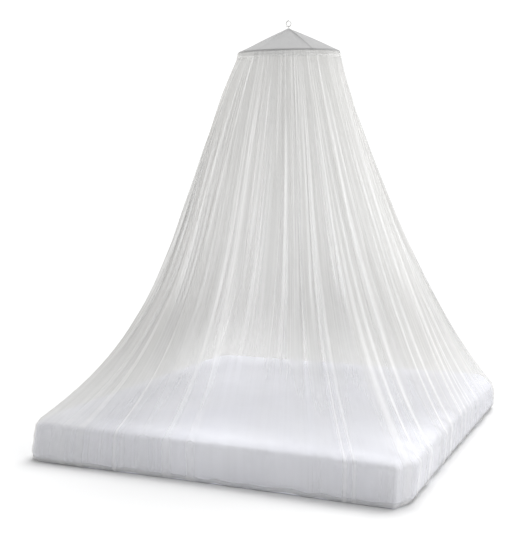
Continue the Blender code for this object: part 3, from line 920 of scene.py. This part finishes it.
def make_net(material):
    """One sheet with its big folds and its pleats, from inside the heading band to the hem.

    Its attributes: "pleat" is the painted highlight on a pleat, how much whiter it is painted, "hem" is 1
    on the hem, "full" is how gathered it is."""
    columns = list_columns()
    made = [hang_row(columns, (step / BELL_ROWS) ** BELL_ROW_CROWDING) for step in range(BELL_ROWS + 1)]
    for share in HELD_SHARES:
        radius = BAND_TOP_RADIUS - HELD_INSET + HELD_FLARE * share + HELD_PLEAT * columns.out
        held = at_hoop(radius, columns.azimuth, HOOP_TUBE_RADIUS - BAND_HEIGHT * share)
        made.insert(0, (held, made[0][1], made[0][2]))
    places = [(NET_LANDING_ANGLE * (1 - step / ROUND_ROWS), 0.0, 0.0) for step in range(1, ROUND_ROWS)]
    places += [(0.0, step / SIDE_ROWS, 0.0) for step in range(SIDE_ROWS + 1)]
    places += [(0.0, 1.0, step / HEM_ROWS) for step in range(1, HEM_ROWS + 1)]
    made += [side_row(columns, *place) for place in places]
    rows, pleat_highlights, outward = (np.array(each) for each in zip(*made))
    lengths = np.linalg.norm(np.diff(rows, axis=0), axis=2).mean(axis=1)
    rows_uv = np.concatenate([[0.0], np.cumsum(lengths)])
    to_hem = rows_uv[-1] - rows_uv
    rows_uv /= rows_uv[-1]
    widths = np.linalg.norm(np.roll(rows, -1, axis=1) - rows, axis=2).mean(axis=0)
    columns_uv = np.concatenate([[0.0], np.cumsum(widths)]) / widths.sum()
    hem = np.broadcast_to((to_hem < HEM_WIDTH).astype(float)[:, None], pleat_highlights.shape)
    beside = (np.arange(len(made)) >= len(made) - len(places))[:, None]
    full = direction_at(columns.azimuth).full
    full_hanging = 1 + (full - 1) * (GATHERS_AT_TOP + GATHERS_PER_LENGTH * rows_uv[:, None])
    full = np.where(beside, LEAST_BESIDE_MATTRESS + GATHERS_BESIDE_MATTRESS * full, full_hanging)
    hangs = np.repeat(np.where(beside, FLANK_BESIDE_MATTRESS, 1.0)[:, 0], len(columns.azimuth))
    attributes = (("pleat", pleat_highlights), ("hem", hem), ("full", full))
    mesh = make_sheet("net_drape", rows, columns_uv, rows_uv, attributes)
    soften_shading(mesh, outward.reshape(-1, 3), NET_SHADING_SOFTNESS, hangs)
    return add_piece(mesh, material)


# -------- heading band and cap
def make_band(material):
    """The doubled strip that holds the gathers, with its own fine pleats."""
    azimuth, columns_uv = all_round(BAND_COLUMNS)
    wide_pleats = np.sin(60 * azimuth + 1.5 * np.sin(3 * azimuth))
    fine_pleats = np.sin(97 * azimuth + 2)
    gather = 0.6 + 0.5 * wide_pleats + 0.4 * fine_pleats
    rows = []
    for share in BAND_ROWS:
        held = math.sin(math.pi * min(share, BAND_PLEATS_FULL) / BAND_PLEATS_FULL * 0.5)
        radius = BAND_TOP_RADIUS + BAND_FLARE * share + BAND_PLEAT * held * gather
        rows.append(at_hoop(radius, azimuth, HOOP_TUBE_RADIUS - BAND_HEIGHT * share))
    mesh = make_sheet("heading_strip", np.array(rows), columns_uv, np.array(BAND_ROWS))
    return add_piece(mesh, material)


def angle_from(crease, azimuth):
    return (azimuth - math.radians(crease.azimuth_deg) + math.pi) % math.tau - math.pi


def make_cap(material):
    """A cone stretched over the hoop, with its sewn seam and soft creases.

    Its seam is painted darker, partly as painted shadow of the fold beside it, and its rim has painted
    shadow.
    """
    azimuth, columns_uv = all_round(CAP_COLUMNS)
    lift = np.full(CAP_COLUMNS, -CAP_SAG)
    for crease in CREASES:
        apart = angle_from(crease, azimuth)
        share = np.maximum(0.0, 1 - np.abs(apart) / math.radians(crease.spread_deg))
        lift += (crease.rise + CAP_SAG) * share**1.5
    from_seam = angle_from(CREASES[0], azimuth)
    shoulder = HOOP_TUBE_RADIUS + 2 * GAP
    rim = HOOP_RADIUS + HOOP_TUBE_RADIUS + GAP
    rows = []
    seam_and_shadow_rows = []
    for out in np.linspace(0.0, 1.0, CAP_CONE_ROWS):
        radius = CAP_TIP_RADIUS + (HOOP_RADIUS - CAP_TIP_RADIUS) * out
        seam = np.exp(-((from_seam * radius / SEAM_HALF_WIDTH) ** 2))
        rise = shoulder + (CAP_HEIGHT - shoulder) * (1 - out)
        rise = rise + lift * math.sin(math.pi * out) + SEAM_RISE * seam
        rows.append(at_hoop(radius, azimuth, rise + CAP_STAND_OFF))
        seam_and_shadow_rows.append(seam)
    # The rim row gets painted shadow.
    seam_and_shadow_rows[-1] = np.maximum(seam_and_shadow_rows[-1], RIM_PAINTED_SHADOW)
    for drop, reach in CAP_RIM_ROWS:
        radius = HOOP_RADIUS + (rim + CAP_STAND_OFF - HOOP_RADIUS) * reach
        rows.append(at_hoop(radius, azimuth, shoulder - (shoulder + CAP_TURNDOWN) * drop))
        seam_and_shadow_rows.append(seam_and_shadow_rows[-1])
    attributes = (("seam", np.array(seam_and_shadow_rows)),)
    mesh = make_sheet("cap_cone", np.array(rows), columns_uv, np.linspace(0, 1, len(rows)), attributes)
    return add_piece(mesh, material)


# -------- ring and cord loop
def deselect_all():
    for item in bpy.context.view_layer.objects:
        item.select_set(False)


def place_in_mesh(piece):
    """Moves the object's place into its mesh."""
    piece.data.transform(piece.matrix_world)
    piece.matrix_world = Matrix.Identity(4)


def make_ring(material):
    """A wire ring with the small bead of its weld at one side."""
    deselect_all()
    bpy.ops.mesh.primitive_torus_add(
        location=RING_CENTRE,
        rotation=(math.pi / 2, 0, RING_TURN),
        major_radius=RING_RADIUS,
        minor_radius=RING_SEEN_WIRE_RADIUS,
        major_segments=96,
        minor_segments=20,
    )
    ring = bpy.context.object
    ring.name = "hanging_ring_wire"
    bpy.context.view_layer.update()
    place_in_mesh(ring)
    along = Vector((math.cos(RING_TURN), math.sin(RING_TURN), 0)) * math.cos(WELD_ANGLE)
    weld = RING_CENTRE + (along + Vector((0, 0, math.sin(WELD_ANGLE)))) * RING_RADIUS
    bpy.ops.object.mode_set(mode="EDIT")
    bpy.ops.mesh.select_all(action="DESELECT")
    shape = bmesh.from_edit_mesh(ring.data)
    for vertex in shape.verts:
        vertex.select = (vertex.co - weld).length < RING_SEEN_WIRE_RADIUS + TOUCH
    shape.select_flush(True)
    bmesh.update_edit_mesh(ring.data)
    bpy.ops.transform.resize(
        value=(WELD_SWELL,) * 3,
        use_proportional_edit=True,
        proportional_edit_falloff="SMOOTH",
        proportional_size=RING_WIRE_RADIUS,
    )
    bpy.ops.object.mode_set(mode="OBJECT")
    ring.data.shade_smooth()
    ring.data.materials.append(material)
    return ring


def make_loop(material):
    """A narrow upright cord loop round the ring's lowest wire and down through the cap's tip."""
    through = Vector((-math.sin(RING_TURN), math.cos(RING_TURN), 0))
    up = Vector((0, 0, 1))
    top_bend = RING_CENTRE - up * RING_RADIUS
    low_bend = CAP_TIP - up * (LOOP_DEPTH_IN_CAP - LOOP_LEG_SPREAD)
    path = []
    for centre, first_deg in ((top_bend, 0), (low_bend, 180)):
        for step in range(LOOP_BEND_STEPS + 1):
            angle = math.radians(first_deg + 180 * step / LOOP_BEND_STEPS)
            path.append(centre + (through * math.cos(angle) + up * math.sin(angle)) * LOOP_LEG_SPREAD)
    turn, around_uv = all_round(LOOP_CORD_SIDES)
    normal = through.cross(up)
    rows = []
    for step, point in enumerate(path):
        forward = (path[(step + 1) % len(path)] - path[step - 1]).normalized()
        beside = forward.cross(normal)
        around = [beside * math.cos(angle) + normal * math.sin(angle) for angle in turn]
        rows.append([point + off * LOOP_CORD_RADIUS for off in around])
    rows.append(rows[0])
    mesh = make_sheet("hanging_cord_loop", np.array(rows), around_uv, np.linspace(0, 1, len(rows)))
    make_solid(mesh, lambda shape: bmesh.ops.remove_doubles(shape, verts=shape.verts, dist=1e-6))
    return add_piece(mesh, material)


# -------- mattress
def make_mattress(material):
    """A firm slab in a cotton cover, its edges soft and a little puckered."""
    azimuth, columns_uv = all_round(COVER_COLUMNS)
    pucker = WIDE_PUCKER * np.sin(47 * azimuth + 2 * np.sin(5 * azimuth))
    pucker += FINE_PUCKER * np.sin(83 * azimuth + 1)
    gathers = 0.5 + 0.5 * np.sin(127 * azimuth + 3 * np.sin(19 * azimuth))
    gathers *= GATHER_DEPTH * (0.55 + 0.45 * np.sin(11 * azimuth + 2))
    row = direction_at(azimuth)
    middle = MATTRESS_THICKNESS - MATTRESS_EDGE_HEIGHT * row.soft
    bulge = np.maximum(row.base_out - COVER_INSIDE_NET, 0.0)
    top_bulge = np.maximum(row.top_out - COVER_INSIDE_NET, 0.0)
    top_bulge = np.where(row.tuck > HEM_FULLY_TUCKED, 0.0, top_bulge)
    rows = []
    for share in COVER_UNDERSIDE_ROWS:
        rows.append(on_side(azimuth, -MATTRESS_EDGE_RADIUS, 0.0) * (share, share, 1))
    for step in range(COVER_EDGE_STEPS + 1):
        height = MATTRESS_EDGE_RADIUS * (1 - math.cos(math.pi / 2 * step / COVER_EDGE_STEPS))
        tucked = under_edge(height) * (row.tuck + COVER_TUCK)
        tucked = np.minimum(tucked, under_edge(height, MATTRESS_LEAST_RADIUS))
        rows.append(on_side(azimuth, tucked + bulge, height))
    for step in range(1, COVER_SIDE_STEPS):
        share = step / COVER_SIDE_STEPS
        height = MATTRESS_EDGE_RADIUS + (middle - MATTRESS_EDGE_RADIUS) * share
        drawn_in = gathers * max(0.0, share - GATHERS_START) / (1 - GATHERS_START)
        uneven = COVER_UNEVENNESS * np.sin(31 * azimuth + step)
        rows.append(on_side(azimuth, bulge + (top_bulge - bulge) * share + uneven - drawn_in, height))
    for step in range(COVER_EDGE_STEPS + 1):
        angle = math.radians(90 * step / COVER_EDGE_STEPS)
        grow, height = over_edge(angle, row.soft)
        height = height + pucker * PUCKER_SHARE_UP * math.sin(angle)
        drawn_in = gathers * max(0.0, math.cos(angle)) ** 3
        grow = grow + top_bulge * math.cos(angle) + pucker * math.sin(2 * angle) - drawn_in
        rows.append(on_side(azimuth, grow, height, angle))
    rim = rows[-1]
    for share in COVER_TOP_ROWS:
        ring = rim * (share, share, 1)
        held = share**12
        crown = COVER_CROWN * (1 - held)
        ring[:, 2] = MATTRESS_THICKNESS + (rim[:, 2] - MATTRESS_THICKNESS) * held + crown
        rows.append(ring)
    rows = np.array(rows)[::-1]
    mesh = make_sheet("mattress_cover", rows, columns_uv, np.linspace(0, 1, len(rows)))
    make_solid(mesh, lambda shape: bmesh.ops.holes_fill(shape, edges=shape.edges, sides=COVER_COLUMNS))
    return add_piece(mesh, material)


# -------- studio
def make_floor():
    deselect_all()
    bpy.ops.mesh.primitive_plane_add(size=FLOOR_WIDTH, location=(0, 0, 0))
    floor = bpy.context.object
    floor.name = "studio_floor"
    floor.data.materials.append(finish_floor())


def make_world():
    """A plain white studio: it shows white, and lights the object more softly than that."""
    world = bpy.data.worlds.new("studio")
    bpy.context.scene.world = world
    world.use_nodes = True
    tree = world.node_tree
    shown = tree.nodes["Background"]
    shown.inputs["Color"].default_value = (1, 1, 1, 1)
    shown.inputs["Strength"].default_value = BACKDROP_BRIGHTNESS
    fill = tree.nodes.new("ShaderNodeBackground")
    fill.inputs["Color"].default_value = FILL_COLOUR
    fill.inputs["Strength"].default_value = FILL_BRIGHTNESS
    seen = tree.nodes.new("ShaderNodeLightPath")
    choose = tree.nodes.new("ShaderNodeMixShader")
    tree.links.new(seen.outputs["Is Camera Ray"], choose.inputs[0])
    tree.links.new(fill.outputs[0], choose.inputs[1])
    tree.links.new(shown.outputs[0], choose.inputs[2])
    tree.links.new(choose.outputs[0], tree.nodes["World Output"].inputs["Surface"])


def make_lights():
    for lamp in LAMPS:
        light = bpy.data.lights.new(lamp.name, "SUN")
        light.energy = lamp.strength
        light.angle = math.radians(lamp.spread_deg)
        light.color = lamp.colour
        stand = bpy.data.objects.new(lamp.name, light)
        stand.rotation_euler = Vector(lamp.direction).to_track_quat("Z", "Y").to_euler()
        bpy.context.scene.collection.objects.link(stand)


def make_camera():
    camera = bpy.data.cameras.new("camera")
    camera.sensor_fit = "HORIZONTAL"
    camera.sensor_width = SENSOR_WIDTH
    camera.lens = CAMERA_LENS
    camera.clip_end = CAMERA_REACH
    stand = bpy.data.objects.new("camera", camera)
    stand.location = CAMERA_PLACE
    stand.rotation_euler = (math.pi / 2 - CAMERA_DIP, 0, CAMERA_TURN)
    bpy.context.scene.collection.objects.link(stand)
    bpy.context.scene.camera = stand


def main():
    make_camera()
    make_floor()
    make_world()
    make_lights()
    scene = bpy.context.scene
    scene.view_settings.view_transform = "Standard"
    scene.cycles.transparent_max_bounces = SHEER_LAYERS_SEEN

    net = make_net(finish_net())
    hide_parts("net")
    band = make_band(finish_band())
    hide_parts("heading_band")
    cap = make_cap(finish_cap())
    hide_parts("cap_cloth")
    ring = make_ring(finish_ring())
    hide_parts("hanging_ring")
    loop = make_loop(finish_cord())
    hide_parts("hanging_loop")
    mattress = make_mattress(finish_mattress())
    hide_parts("mattress")
    for piece in (net, band, cap, ring, loop, mattress):
        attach(piece, "root")
    for slot in frame["nodes"]["hoop"].material_slots:
        slot.material = finish_hoop()


main()
